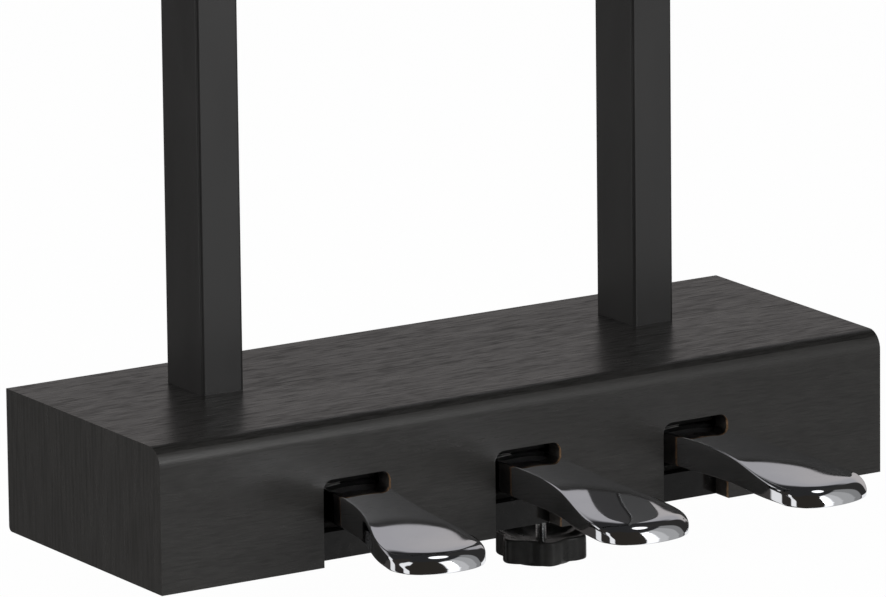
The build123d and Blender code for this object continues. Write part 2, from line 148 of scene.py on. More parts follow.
# Camera, measured from the box's edges
CAMERA_AZIMUTH = 31.940
CAMERA_TILT = 13.568
CAMERA_ROLL = 0.664
CAMERA_FOCAL = 10001.0
CAMERA_OFFSET = (0.048485, 0.131908, 5.635045)
CAMERA_REACH = 100.0
PHOTO_WIDTH = 886
SENSOR_MM = 36.0

# Points closer than this are merged. A face looks up or down if its normal is steeper than this.
SAME_POINT = 0.000002
LEVEL_FACE = 0.9


def only(obj):
    """Leaves one object selected and active, in object mode."""
    if bpy.context.mode != "OBJECT":
        bpy.ops.object.mode_set(mode="OBJECT")
    bpy.ops.object.select_all(action="DESELECT")
    if obj:
        obj.select_set(True)
        bpy.context.view_layer.objects.active = obj


def edit(obj, kind="VERT"):
    only(obj)
    bpy.ops.object.mode_set(mode="EDIT")
    bpy.ops.mesh.select_mode(type=kind)


def pick(obj, kind, test):
    """Selects, in edit mode, the points, edges or faces that pass a test."""
    bpy.ops.mesh.select_mode(type=kind)
    bpy.ops.mesh.select_all(action="DESELECT")
    shape = bmesh.from_edit_mesh(obj.data)
    items = {"VERT": shape.verts, "EDGE": shape.edges, "FACE": shape.faces}[kind]
    for item in items:
        if test(item):
            item.select_set(True)
    shape.select_flush_mode()
    bmesh.update_edit_mesh(obj.data)


def shift(x=0.0, y=0.0, z=0.0):
    bpy.ops.transform.translate(value=(x, y, z))


def stretch(x=1.0, y=1.0, z=1.0, about=(0.0, 0.0, 0.0)):
    bpy.ops.transform.resize(value=(x, y, z), center_override=about)


def pull(x=0.0, y=0.0, z=0.0):
    bpy.ops.mesh.extrude_region_move(TRANSFORM_OT_translate={"value": (x, y, z)})


def new_piece(name):
    """Names the primitive just added and sinks its place into its mesh."""
    obj = bpy.context.object
    obj.name = name
    obj.data.name = name
    only(obj)
    bpy.ops.object.transform_apply(location=True, rotation=True, scale=True)
    return obj


def add_cylinder(name, points, radius, depth, spot, turn=(0.0, 0.0, 0.0)):
    bpy.ops.mesh.primitive_cylinder_add(
        vertices=points, radius=radius, depth=depth, location=spot, rotation=turn)
    return new_piece(name)


def apply_modifier(obj, kind, **settings):
    only(obj)
    modifier = obj.modifiers.new(kind.lower(), kind)
    for key, value in settings.items():
        setattr(modifier, key, value)
    bpy.ops.object.modifier_apply(modifier=modifier.name)


def cut(obj, tool, operation):
    """Joins or cuts with a second shape, which is then thrown away."""
    apply_modifier(obj, "BOOLEAN", operation=operation, object=tool, solver="EXACT")
    bpy.data.objects.remove(tool)


def tidy_faces(obj):
    edit(obj)
    bpy.ops.mesh.select_all(action="SELECT")
    bpy.ops.mesh.remove_doubles(threshold=SAME_POINT)
    bpy.ops.mesh.normals_make_consistent(inside=False)
    only(obj)


def smooth(obj, degrees):
    only(obj)
    bpy.ops.object.shade_smooth_by_angle(angle=math.radians(degrees))


def copy_piece(obj, name):
    twin = obj.copy()
    twin.data = obj.data.copy()
    twin.name = name
    twin.data.name = name
    scene.collection.objects.link(twin)
    return twin


def place(obj, spot, turn=0.0):
    """Moves a piece that was modelled at the origin and sinks the place into its mesh."""
    obj.location = spot
    obj.rotation_euler = (0.0, 0.0, turn)
    only(obj)
    bpy.ops.object.transform_apply(location=True, rotation=True, scale=True)


def forward(side):
    """How far a pedal stands in front of the two outer ones."""
    return 0.0 if side else CENTRE_FORWARD


def pedal_spot(side):
    return Vector((side * PEDAL_PITCH, FRONT_Y - forward(side), BOX_BOTTOM)), side * PEDAL_SPLAY


def on_pedal(side, back, up):
    """Point over a pedal's centre line, in the frame of the model."""
    spot, turn = pedal_spot(side)
    return spot + Matrix.Rotation(turn, 3, "Z") @ Vector((0.0, back, up))


# Colour sockets of a mix node
MIX_FIRST, MIX_SECOND, MIX_RESULT = 6, 7, 2


def feed(tree, socket, value):
    """Gives a socket a plain value or the output of another node."""
    if isinstance(value, bpy.types.NodeSocket):
        tree.links.new(value, socket)
    else:
        socket.default_value = value


def math_node(tree, operation, first, second):
    node = tree.nodes.new("ShaderNodeMath")
    node.operation = operation
    feed(tree, node.inputs[0], first)
    feed(tree, node.inputs[1], second)
    return node.outputs[0]


def color_mix(tree, fac, first, second):
    node = tree.nodes.new("ShaderNodeMix")
    node.data_type = "RGBA"
    feed(tree, node.inputs["Factor"], fac)
    feed(tree, node.inputs[MIX_FIRST], first)
    feed(tree, node.inputs[MIX_SECOND], second)
    return node.outputs[MIX_RESULT]


def shader_mix(tree, fac, first, second):
    node = tree.nodes.new("ShaderNodeMixShader")
    for socket, value in zip(node.inputs, (fac, first, second)):
        feed(tree, socket, value)
    return node.outputs[0]


# Noise lies mostly between these two values
NOISE_LOW, NOISE_HIGH = 0.3, 0.7
AXIS_X, AXIS_Z = 0, 2


# Finishes: all are grown from noise on the object's own coordinates
class Finish:
    def __init__(self, name):
        self.material = bpy.data.materials.new(name)
        self.material.use_nodes = True
        self.tree = self.material.node_tree
        self.shader = self.tree.nodes["Principled BSDF"]
        self.place = self.tree.nodes.new("ShaderNodeTexCoord").outputs["Object"]

    def link(self, output, socket):
        self.tree.links.new(output, self.shader.inputs[socket])

    def noise(self, scale, detail=3.0, rough=0.5, twist=0.0):
        """Noise stretched differently along each axis. The scale is in cells per metre."""
        mapping = self.tree.nodes.new("ShaderNodeMapping")
        mapping.inputs["Scale"].default_value = scale
        self.tree.links.new(self.place, mapping.inputs["Vector"])
        noise = self.tree.nodes.new("ShaderNodeTexNoise")
        noise.inputs["Scale"].default_value = 1.0
        noise.inputs["Detail"].default_value = detail
        noise.inputs["Roughness"].default_value = rough
        noise.inputs["Distortion"].default_value = twist
        self.tree.links.new(mapping.outputs["Vector"], noise.inputs["Vector"])
        return noise.outputs["Fac"]

    def ramp(self, fac, *stops):
        """Colour ramp through (place, colour) stops."""
        ramp = self.tree.nodes.new("ShaderNodeValToRGB")
        points = ramp.color_ramp.elements
        while len(points) < len(stops):
            points.new(0.5)
        for point, (at, color) in zip(points, stops):
            point.position = at
            point.color = (*color, 1.0)
        self.tree.links.new(fac, ramp.inputs["Fac"])
        return ramp.outputs["Color"]

    def tones(self, fac, dark, light, start=NOISE_LOW, end=NOISE_HIGH):
        return self.ramp(fac, (start, dark), (end, light))

    def spread(self, fac, low, high, start=NOISE_LOW, end=NOISE_HIGH):
        node = self.tree.nodes.new("ShaderNodeMapRange")
        node.inputs["From Min"].default_value = start
        node.inputs["From Max"].default_value = end
        node.inputs["To Min"].default_value = low
        node.inputs["To Max"].default_value = high
        self.tree.links.new(fac, node.inputs["Value"])
        return node.outputs["Result"]

    def math(self, operation, first, second=0.0):
        return math_node(self.tree, operation, first, second)

    def mix(self, fac, first, second):
        return color_mix(self.tree, fac, first, second)

    def weigh(self, share, first, second):
        """The first value by its share and the second by the rest."""
        rest = self.math("SUBTRACT", 1.0, share)
        return self.math("ADD", self.math("MULTIPLY", first, share), self.math("MULTIPLY", second, rest))

    def split(self, vector):
        node = self.tree.nodes.new("ShaderNodeSeparateXYZ")
        self.tree.links.new(vector, node.inputs[0])
        return node.outputs[:3]

    def normal(self):
        return self.tree.nodes.new("ShaderNodeNewGeometry").outputs["Normal"]

    def bump(self, height, depth, strength=1.0):
        node = self.tree.nodes.new("ShaderNodeBump")
        node.inputs["Distance"].default_value = depth
        node.inputs["Strength"].default_value = strength
        self.tree.links.new(height, node.inputs["Height"])
        self.link(node.outputs["Normal"], "Normal")

    def set(self, **values):
        for key, value in values.items():
            self.shader.inputs[key.replace("_", " ")].default_value = value


def even(cells):
    """Scale of noise that is the same along all axes."""
    return (cells, cells, cells)


# A mottled finish is this much finer in its surface than in its colour
BUMP_FINER = 3.0


def mottled(name, dark, light, rough, scale, depth=0.0, **values):
    """A finish whose colour, gloss and surface wander a little."""
    finish = Finish(name)
    cloud = finish.noise(scale, detail=4.0)
    finish.link(finish.tones(cloud, dark, light), "Base Color")
    finish.link(finish.spread(cloud, *rough), "Roughness")
    if depth:
        finish.bump(finish.noise(tuple(BUMP_FINER * v for v in scale), detail=2.0), depth)
    finish.set(**values)
    return finish.material


# Kinds of foil: grain in cells a metre along and across it, sheen of its pores and ridges, and a factor on
# the colour that is painted shading: darker on the top, lighter on the ends
TOP_FOIL = ((75.0, 680.0), (0.06, 0.23), 0.68)
FRONT_FOIL = ((90.0, 1250.0), (0.22, 0.24), 1.06)
END_FOIL = ((30.0, 520.0), (0.22, 0.30), 1.10)
FIGURE = (6.0, 120.0)
PORE_SHARE = 0.75
PORE, RIDGE = 0.38, 0.56
FOIL_GLOSS = (0.36, 0.25)
GRAIN_DEPTH = 0.00007
FOIL_SHADES = (
    (0.36, (0.0167, 0.0162, 0.0154)),
    (0.50, (0.0212, 0.0205, 0.0196)),
    (0.64, (0.0254, 0.0247, 0.0236)),
)
LOOKS_ALONG = 0.7

# Walls of the pedal slots: how ragged the foil's cut is, and how wide the bare board shows on the wall
# that looks to the left and on the one that looks to the right
SLOT_MARGIN = 0.0004
RAGGED = 0.0016
BARE_WIDTHS = (0.0012, 0.0006)
WALL_TURNS = (0.2, 0.6)
LOOKS_ASIDE = 0.5
BARE_BOARD = ((0.075, 0.040, 0.021), (0.25, 0.16, 0.095))
SLOT_LINING = ((0.0170, 0.0158, 0.0148), (0.0320, 0.0290, 0.0268))


def drawn_out(axis, along, across):
    """Scale of noise that runs along one axis."""
    return tuple(along if number == axis else across for number in range(3))


def grain_field(finish, axis, grain):
    """Fine pores over a broad figure, drawn out along one axis."""
    pores = finish.noise(drawn_out(axis, *grain), detail=2.0, rough=0.55)
    figure = finish.noise(drawn_out(axis, *FIGURE), detail=3.0, rough=0.6, twist=0.4)
    return finish.weigh(PORE_SHARE, pores, figure)


def foil_layers(finish, axis, kind):
    """Grain, sheen and colour of one kind of foil, with the grain along one axis. The colour is scaled by
    the kind's painted shading.
    """
    grain, sheen, face_shading = kind
    grainy = grain_field(finish, axis, grain)
    shades = [(at, tuple(face_shading * v for v in shade)) for at, shade in FOIL_SHADES]
    return grainy, finish.spread(grainy, *sheen, PORE, RIDGE), finish.ramp(grainy, *shades)


def wood_foil(name, kind, faces=(), slots=False):
    """Black open-pore foil with its grain along X, apart from faces that look along a listed axis. Those
    faces get their own grain and their own painted shading, lighter or darker by how light falls on them.
    """
    finish = Finish(name)
    grainy, level, color = foil_layers(finish, AXIS_X, kind)
    for facing, axis, face_kind in faces:
        looks = finish.math("ABSOLUTE", finish.split(finish.normal())[facing])
        chosen = finish.math("GREATER_THAN", looks, LOOKS_ALONG)
        own_grain, own_level, own_color = foil_layers(finish, axis, face_kind)
        grainy = finish.weigh(chosen, own_grain, grainy)
        level = finish.weigh(chosen, own_level, level)
        color = finish.mix(chosen, color, own_color)
    if slots:
        color = slot_walls(finish, color)
    finish.link(color, "Base Color")
    finish.link(finish.spread(grainy, *FOIL_GLOSS), "Roughness")
    finish.link(level, "Specular IOR Level")
    finish.bump(grainy, GRAIN_DEPTH, strength=0.5)
    return finish.material


def slot_walls(finish, foil):
    """Bare brown board shows round the pedal slots, where the foil was cut, and turns dark inside."""
    _, back, up = finish.split(finish.place)
    to_side, to_back, _ = finish.split(finish.normal())
    aside = finish.math("LESS_THAN", finish.math("ABSOLUTE", to_back), LOOKS_ASIDE)
    wall = finish.math("MULTIPLY", aside, finish.math("LESS_THAN", up, SLOT_TOP + SLOT_MARGIN))
    ragged = finish.math("MULTIPLY", finish.noise(even(420.0), detail=3.0), RAGGED)
    depth = finish.math("SUBTRACT", back, ragged)
    fibres = finish.noise(even(900.0), detail=3.0)
    bare = finish.tones(fibres, *BARE_BOARD)
    dust = finish.noise(even(300.0), detail=3.0)
    inner = finish.tones(dust, *SLOT_LINING)
    edges = [FRONT_Y + width for width in BARE_WIDTHS]
    edge = finish.spread(to_side, *edges, *WALL_TURNS)
    lining = finish.mix(finish.math("LESS_THAN", depth, edge), inner, bare)
    return finish.mix(wall, foil, lining)


PAINT_BLACK = ((0.0095, 0.0093, 0.0092), (0.0135, 0.0132, 0.0129))
CHROME_TINT = ((0.79, 0.80, 0.83), (0.83, 0.84, 0.865))


def satin_paint():
    finish = Finish("satin_black_paint")
    cloud = finish.noise((30.0, 30.0, 9.0), detail=4.0)
    peel = finish.noise(even(900.0), detail=2.0)
    finish.link(finish.tones(cloud, *PAINT_BLACK), "Base Color")
    finish.link(finish.spread(cloud, low=0.33, high=0.41), "Roughness")
    finish.bump(peel, depth=0.00003, strength=0.5)
    finish.set(Specular_IOR_Level=0.46)
    return finish.material


def pedal_chrome():
    finish = Finish("polished_chrome")
    haze = finish.noise(even(60.0), detail=4.0)
    finish.link(finish.tones(haze, *CHROME_TINT), "Base Color")
    finish.link(finish.spread(haze, low=0.035, high=0.06), "Roughness")
    finish.set(Metallic=1.0)
    return finish.material


FELT_RANGE = (0.35, 0.65)
FIBRE_SHARE = 0.6
HIGHLIGHT_END = 0.003
HIGHLIGHT_PALE = ((0.26, 0.25, 0.24), (0.46, 0.45, 0.43))


def felt_cloth(name, dark, light, facing=None):
    """Pressed felt. Given a height, it carries a painted highlight below it: a pale band over each pedal's
    left side, where light catches the felt's lower edge.
    """
    finish = Finish(name)
    fibre = finish.noise(even(2600.0), detail=4.0, twist=1.2)
    tuft = finish.noise(even(500.0), detail=3.0)
    both = finish.weigh(FIBRE_SHARE, fibre, tuft)
    color = finish.tones(both, dark, light, *FELT_RANGE)
    if facing:
        # Painted highlight: pale colour along the lower edge, over each pedal's left side only
        highlight_color = finish.tones(both, *HIGHLIGHT_PALE, *FELT_RANGE)
        right, _, up = finish.split(finish.place)
        # How far a place is to the right of the middle between two pedals
        beside = finish.math("MODULO", finish.math("ADD", right, 2.5 * PEDAL_PITCH), PEDAL_PITCH)
        left = finish.math("LESS_THAN", beside, PEDAL_PITCH / 2 - HIGHLIGHT_END)
        below = finish.math("MULTIPLY", left, finish.math("LESS_THAN", up, facing))
        color = finish.mix(below, color, highlight_color)
    finish.link(color, "Base Color")
    finish.bump(both, depth=0.0004, strength=0.8)
    finish.set(Roughness=0.95, Specular_IOR_Level=0.15)
    return finish.material


def bare_wood(name, dark, light):
    finish = Finish(name)
    rings = finish.noise((9.0, 210.0, 210.0), detail=4.0, twist=0.6)
    finish.link(finish.tones(rings, dark, light, start=0.32, end=0.68), "Base Color")
    finish.link(finish.spread(rings, low=0.75, high=0.6), "Roughness")
    finish.bump(rings, depth=0.0002, strength=0.5)
    return finish.material


# The same foil on every board of the box; its top is painted darker and its ends lighter, as shading.
foil_top = wood_foil("wood_foil_top", TOP_FOIL)
foil_front = wood_foil("wood_foil_front", FRONT_FOIL, slots=True)
foil_back = wood_foil("wood_foil_back", FRONT_FOIL)
foil_end = wood_foil(
    "wood_foil_end", FRONT_FOIL, ((AXIS_X, AXIS_Z, END_FOIL), (AXIS_Z, AXIS_X, TOP_FOIL)))
post_paint = satin_paint()
chrome = pedal_chrome()
felt = felt_cloth("pressed_felt", (0.016, 0.0155, 0.015), (0.040, 0.039, 0.037))
# Black felt over the arms, with a painted highlight along its lower edge
dark_felt = felt_cloth("felt_with_painted_highlight", (0.004, 0.004, 0.004), (0.010, 0.010, 0.0095), FELT_HIGHLIGHT_LINE)
pine = bare_wood("bare_pine", (0.36, 0.24, 0.13), (0.58, 0.43, 0.27))
stained = bare_wood("black_stained_wood", (0.006, 0.0055, 0.005), (0.014, 0.0125, 0.011))
# Black foil of the base board, darker than the box's foil: painted shade for the base's front edge seen in
# the slots
base_foil_with_painted_shade = mottled(
    "black_foil_darkened_for_shade", (0.0050, 0.0048, 0.0046), (0.0085, 0.0082, 0.0079),
    rough=(0.10, 0.16), scale=even(220.0), Specular_IOR_Level=0.25)
zinc = mottled(
    "zinc_plate", (0.50, 0.51, 0.53), (0.66, 0.67, 0.68),
    rough=(0.24, 0.40), scale=even(260.0), depth=0.00003, Metallic=1.0)
bright_zinc = mottled(
    "bright_zinc", (0.76, 0.77, 0.78), (0.88, 0.88, 0.88),
    rough=(0.16, 0.24), scale=even(260.0), depth=0.00002, Metallic=1.0)
wire = mottled(
    "spring_wire", (0.36, 0.36, 0.37), (0.50, 0.50, 0.51),
    rough=(0.22, 0.36), scale=even(500.0), depth=0.00002, Metallic=1.0)
nylon = mottled(
    "natural_nylon", (0.74, 0.73, 0.68), (0.83, 0.82, 0.78),
    rough=(0.38, 0.52), scale=even(180.0), depth=0.00003)
rubber = mottled(
    "black_rubber", (0.016, 0.016, 0.016), (0.034, 0.033, 0.032),
    rough=(0.62, 0.8), scale=even(400.0), depth=0.00006)
plastic = mottled(
    "black_plastic", (0.028, 0.028, 0.029), (0.045, 0.045, 0.046),
    rough=(0.4, 0.52), scale=even(350.0), depth=0.00004)
laminate = mottled(
    "green_laminate", (0.03, 0.16, 0.08), (0.05, 0.23, 0.115),
    rough=(0.3, 0.42), scale=(150.0, 420.0, 150.0), depth=0.00003)
knob_plastic = mottled(
    "knob_plastic", (0.036, 0.036, 0.035), (0.052, 0.0517, 0.0503),
    rough=(0.26, 0.34), scale=even(120.0), depth=0.00002, Specular_IOR_Level=0.15)

CAD_FINISHES = (
    (foil_top, ("top_board",)),
    (foil_front, ("front_panel",)),
    (foil_back, ("back_panel",)),
    (foil_end, ("left_end_panel", "right_end_panel")),
    (post_paint, ("left_post", "right_post", "head_plate")),
    (base_foil_with_painted_shade, ("base_board",)),
    (pine, ("corner_blocks",)),
    (stained, ("stop_rail",)),
    (laminate, ("circuit_board",)),
    (plastic, ("flag_sensors", "circuit_standoffs", "lead_socket")),
    (nylon, ("spring_cups",)),
    (zinc, ("post_lower_plugs", "post_upper_plugs", "spreader_plates", "post_washers", "post_bolts")),
    (zinc, ("head_screws", "base_screws", "bracket_screws", "circuit_screws", "pin_clips", "adjuster_nut")),
)
PER_PEDAL_FINISHES = (
    (nylon, ("pivot_bushes", "spring_seat")),
    (plastic, ("sensor_flag",)),
    (zinc, ("hinge_bracket", "pivot_pin")),
)


def paint(node, material):
    data = nodes[node].data
    data.materials.clear()
    data.materials.append(material)


for material, names in CAD_FINISHES:
    for name in names:
        paint(name, material)
for material, names in PER_PEDAL_FINISHES:
    for name in names:
        for side_name, _ in SIDES:
            paint(f"{side_name}_{name}", material)


def dress(obj, material, slot, *replaced):
    obj.data.materials.clear()
    obj.data.materials.append(material)
    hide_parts(*replaced)


def add_piece(obj, material, body, slot, *replaced):
    dress(obj, material, slot, *replaced)
    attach(obj, body)


# Pedals: a cage of rows from the tail to the tip, pulled down to a thick lever and then rounded
ROWS = (
    -0.135, -0.131, -0.104, -0.072, -0.036, -0.004, 0.010, 0.022,
    0.034, 0.046, 0.058, 0.070, 0.081, 0.092, 0.102,
)
# Points over the rim of a row: share of the rim's width in from the edge, share of the edge's drop
RIM_POINTS = ((0.0, 1.0), (0.38, 0.45), (1.0, 0.06))
# The last rows run round the tip. Each point: turn round the tip, distance inside the outline, drop.
NOSE_ROWS = (
    (
        (10.0, 0.0, 0.0026), (15.0, 0.0040, 0.0010),
        (36.0, 0.0104, 0.0), (62.0, 0.0106, 0.0), (90.0, 0.0106, 0.0),
    ),
    (
        (18.0, 0.0, 0.0036), (23.0, 0.0038, 0.0016),
        (40.0, 0.0072, 0.0003), (63.0, 0.0072, 0.0003), (90.0, 0.0072, 0.0003),
    ),
    (
        (26.0, 0.0, 0.0049), (31.0, 0.0032, 0.0026),
        (45.0, 0.0036, 0.0021), (65.0, 0.0036, 0.0021), (90.0, 0.0036, 0.0021),
    ),
    (
        (34.0, 0.0, 0.0063), (39.0, 0.0014, 0.0048),
        (49.0, 0.0012, 0.0048), (67.0, 0.0012, 0.0048), (90.0, 0.0012, 0.0048),
    ),
    (
        (42.0, 0.0, 0.0075), (47.0, 0.0, 0.0077),
        (54.0, 0.0, 0.0077), (69.0, 0.0, 0.0077), (90.0, 0.0, 0.0077),
    ),
)
COLUMNS = 9


def progress(value, start, end):
    """How far a value has come from start to end, from 0 to 1."""
    return min(max((value - start) / (end - start), 0.0), 1.0)


def eased(value, start, end):
    t = progress(value, start, end)
    return t * t * (3.0 - 2.0 * t)


def eased_run(value, start, end):
    """Area under the eased step."""
    t = progress(value, start, end)
    return (end - start) * (t ** 3 - t ** 4 / 2.0) + max(value - end, 0.0)


def pedal_half(along):
    half = ARM_HALF + (BLADE_HALF - ARM_HALF) * eased(along, FLARE_START, SHOULDER)
    tip = max(along - SHOULDER, 0.0) / TIP_LENGTH
    return half * (1.0 - tip ** TIP_POWER) ** (1.0 / TIP_POWER)


def tip_point(degrees, inside):
    """Point (across, along) of the tip's outline, or inside of it."""
    turn = math.radians(degrees)
    across = BLADE_HALF * max(math.cos(turn), 0.0) ** (2.0 / TIP_POWER)
    along = TIP_LENGTH * math.sin(turn) ** (2.0 / TIP_POWER)
    out = Vector((
        (across / BLADE_HALF) ** (TIP_POWER - 1.0) / BLADE_HALF,
        (along / TIP_LENGTH) ** (TIP_POWER - 1.0) / TIP_LENGTH,
    )).normalized()
    return across - inside * out.x, SHOULDER + along - inside * out.y


def pedal_height(along, across, drop):
    middle = ARM_TOP - FALL * eased_run(along, *FALL_FROM) + LEVELLING * eased_run(along, *LEVEL_FROM)
    crown = ARM_CROWN + (TIP_CROWN - ARM_CROWN) * eased(along, *CROWN_FROM)
    return middle - crown * across * across / 2.0 - drop


def cage_rows():
    """Half rows of the cage, each point as (across, along, drop) from the edge to the middle."""
    rows = []
    for along in ROWS:
        half = pedal_half(along)
        rim = RIM + (TIP_RIM - RIM) * eased(along, *ROUNDING_FROM)
        drop = SIDE_DROP * eased(along, *ROUNDING_FROM)
        row = [(half - inward * rim, along, share * drop) for inward, share in RIM_POINTS]
        rows.append(row + [((half - rim) / 2, along, 0.0), (0.0, along, 0.0)])
    for points in NOSE_ROWS:
        rows.append([(*tip_point(turn, inside), drop) for turn, inside, drop in points])
    return rows


def make_pedal():
    rows = cage_rows()
    bpy.ops.mesh.primitive_grid_add(x_subdivisions=COLUMNS - 1, y_subdivisions=len(rows) - 1, size=2.0)
    pedal = new_piece("pedal")
    edit(pedal)
    for number, row in enumerate(rows):
        old_y = 2.0 * number / (len(rows) - 1) - 1.0
        for column, (across, along, drop) in enumerate(row):
            pair = {number * COLUMNS + column, number * COLUMNS + COLUMNS - 1 - column}
            pick(pedal, "VERT", lambda point: point.index in pair)
            old_x = 1.0 - 2.0 * column / (COLUMNS - 1)
            if old_x:
                stretch(x=across / old_x)
            shift(y=-along - old_y, z=pedal_height(along, across, drop))
    bpy.ops.mesh.select_all(action="SELECT")
    pull()
    stretch(z=SIDE_LOOP, about=(0.0, 0.0, UNDERSIDE))
    pull()
    stretch(z=0.0, about=(0.0, 0.0, UNDERSIDE + SOLE))
    pull(z=-SOLE)

    def under_nose(point):
        return point.co.z < UNDERSIDE + SOLE + SAME_POINT and -point.co.y > LIP_FROM

    def under_blade(face):
        middle = face.calc_center_median()
        if middle.z > UNDERSIDE + SOLE / 2 or not HOLLOW_FROM[0] < -middle.y < HOLLOW_FROM[1]:
            return False
        return abs(middle.x) < pedal_half(-middle.y) - RIM

    pick(pedal, "VERT", under_nose)
    shift(z=-NOSE_LIP)
    pick(pedal, "FACE", under_blade)
    bpy.ops.mesh.inset(thickness=HOLLOW_WALL)
    pull(z=HOLLOW_DEPTH)
    bpy.ops.mesh.inset(thickness=HOLLOW_WALL)
    bpy.ops.mesh.select_all(action="SELECT")
    bpy.ops.mesh.normals_make_consistent(inside=False)
    apply_modifier(pedal, "SUBSURF", levels=3, render_levels=3)
    spot = (0.0, PIVOT_BACK, PIVOT_UP)
    across = (0.0, math.pi / 2, 0.0)
    hub = add_cylinder("hub", HUB_POINTS, HUB_RADIUS, 2 * ARM_HALF - HUB_CLEARANCE, spot, across)
    cut(pedal, hub, "UNION")
    bore = add_cylinder("bore", BORE_POINTS, BORE_RADIUS, 4 * ARM_HALF, spot, across)
    cut(pedal, bore, "DIFFERENCE")
    tidy_faces(pedal)
    smooth(pedal, degrees=38.0)
    return pedal


pedal = make_pedal()
for name, side in SIDES:
    lever = copy_piece(pedal, f"{name}_pedal_casting")
    place(lever, *pedal_spot(side))
    add_piece(lever, chrome, f"{name}_lever", "pedal_chrome", f"{name}_pedal")
bpy.data.objects.remove(pedal)


# Return springs: a ring of wire wound up six turns.
def make_spring():
    start = (SPRING_RADIUS, 0.0, WIRE_RADIUS)
    upright = (math.pi / 2, 0.0, 0.0)
    bpy.ops.mesh.primitive_circle_add(
        vertices=WIRE_POINTS, radius=WIRE_RADIUS, location=start, rotation=upright)
    spring = new_piece("spring")
    rise = SPRING_HIGH - SPRING_LOW - 2 * WIRE_RADIUS
    steps = STEPS_PER_TURN * SPRING_TURNS
    apply_modifier(
        spring, "SCREW", axis="Z", angle=2 * math.pi * SPRING_TURNS, screw_offset=rise,
        steps=steps, render_steps=steps, use_merge_vertices=False)
    edit(spring, "EDGE")
    bpy.ops.mesh.select_all(action="SELECT")
    bpy.ops.mesh.fill_holes(sides=0)
    tidy_faces(spring)
    smooth(spring, degrees=50.0)
    return spring


spring = make_spring()
for name, side in SIDES:
    coil = copy_piece(spring, f"{name}_coil_spring")
    place(coil, on_pedal(side, SPRING_BACK, SPRING_LOW))
    dress(coil, wire, "spring_steel", f"{name}_return_spring")
    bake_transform(coil)
bpy.data.objects.remove(spring)


# Stops: felt blocks with soft edges
def make_block(name, low, high, edge):
    middle = tuple((a + b) / 2 for a, b in zip(low, high))
    bpy.ops.mesh.primitive_cube_add(size=1.0, location=middle)
    bpy.context.object.scale = tuple(b - a for a, b in zip(low, high))
    block = new_piece(name)
    edit(block, "EDGE")
    bpy.ops.mesh.select_all(action="SELECT")
    bpy.ops.mesh.bevel(offset=edge, segments=4)
    only(block)
    smooth(block, degrees=60.0)
    return block


def join(name, pieces):
    only(pieces[0])
    for piece in pieces[1:]:
        piece.select_set(True)
    bpy.ops.object.join()
    pieces[0].name = name
    pieces[0].data.name = name
    return pieces[0]


upper_felts = []
for name, side in SIDES:
    middle = side * PEDAL_PITCH
    low = (middle - FELT_HALF, PANEL_BACK, FELT_LOW)
    high = (middle + FELT_HALF, PANEL_BACK + FELT_DEPTH, FELT_HIGH)
    upper_felts.append(make_block(f"{name}_felt", low, high, FELT_EDGE))
add_piece(join("upper_stop_felts", upper_felts), dark_felt, "root", "grey_felt", "stop_felts")

lower_blocks = []
for name, side in SIDES:
    near = STOP_NEAR + forward(side)
    up = UNDERSIDE - (PIVOT_BACK - near) * math.sin(PEDAL_TRAVEL) - STOP_GAP
    low = (-STOP_HALF, near, BASE_TOP - BOX_BOTTOM)
    block = make_block(f"{name}_block", low, (STOP_HALF, near + STOP_LENGTH, up), STOP_EDGE)
    place(block, *pedal_spot(side))
    lower_blocks.append(block)
add_piece(join("lower_stop_felts", lower_blocks), felt, "root", "grey_felt", "stop_pads")

# Star knob: a ring with six lobes, raised through a list of rings and rounded
PEAK_RADIUS = 0.0284
MIDDLE_RADIUS = 0.0252
VALLEY_RADIUS = 0.0209
POINTS_PER_LOBE = 4
KNOB_POINTS = POINTS_PER_LOBE * KNOB_LOBES
# Each ring: share of the outline's size, height over the knob's top
KNOB_RINGS = (
    (1.000, -0.0140), (1.000, -0.0026), (0.990, -0.0007), (0.962, 0.0000), (0.920, 0.0000), (0.870, -0.0006),
    (0.800, -0.0015), (0.560, -0.0031), (0.300, -0.0036), (0.225, -0.0036),
)


def make_knob():
    centre = (0.0, 0.0, KNOB_BOTTOM)
    bpy.ops.mesh.primitive_circle_add(
        vertices=KNOB_POINTS, radius=PEAK_RADIUS, fill_type="NGON", location=centre)
    knob = new_piece("star_knob")
    edit(knob)

    def turn_of(point):
        angle = math.atan2(point.co.y, point.co.x)
        return round(angle / (2 * math.pi) * KNOB_POINTS) % POINTS_PER_LOBE

    for radius, turns in ((VALLEY_RADIUS, (0,)), (MIDDLE_RADIUS, (1, 3))):
        pick(knob, "VERT", lambda point: turn_of(point) in turns)
        stretch(x=radius / PEAK_RADIUS, y=radius / PEAK_RADIUS, about=centre)
    bpy.ops.mesh.select_mode(type="FACE")
    bpy.ops.mesh.select_all(action="SELECT")
    size, height = 1.0, KNOB_BOTTOM
    for ring, drop in KNOB_RINGS:
        pull(z=KNOB_TOP + drop - height)
        stretch(x=ring / size, y=ring / size, about=centre)
        size, height = ring, KNOB_TOP + drop
    bpy.ops.mesh.select_all(action="SELECT")
    bpy.ops.mesh.normals_make_consistent(inside=False)
    apply_modifier(knob, "SUBSURF", levels=3, render_levels=3)
    recess = add_cylinder("foot_recess", RECESS_POINTS, FOOT_RADIUS + FOOT_GAP, 2 * FOOT_RECESS, centre)
    cut(knob, recess, "DIFFERENCE")
    bore = add_cylinder("stem_bore", STEM_POINTS, STEM_RADIUS + STEM_GAP, 2 * STEM_BORE, centre)
    cut(knob, bore, "DIFFERENCE")
    tidy_faces(knob)
    place(knob, (ADJUSTER_X, ADJUSTER_Y, 0.0), KNOB_FIRST_NOTCH)
    smooth(knob, degrees=35.0)
    return knob


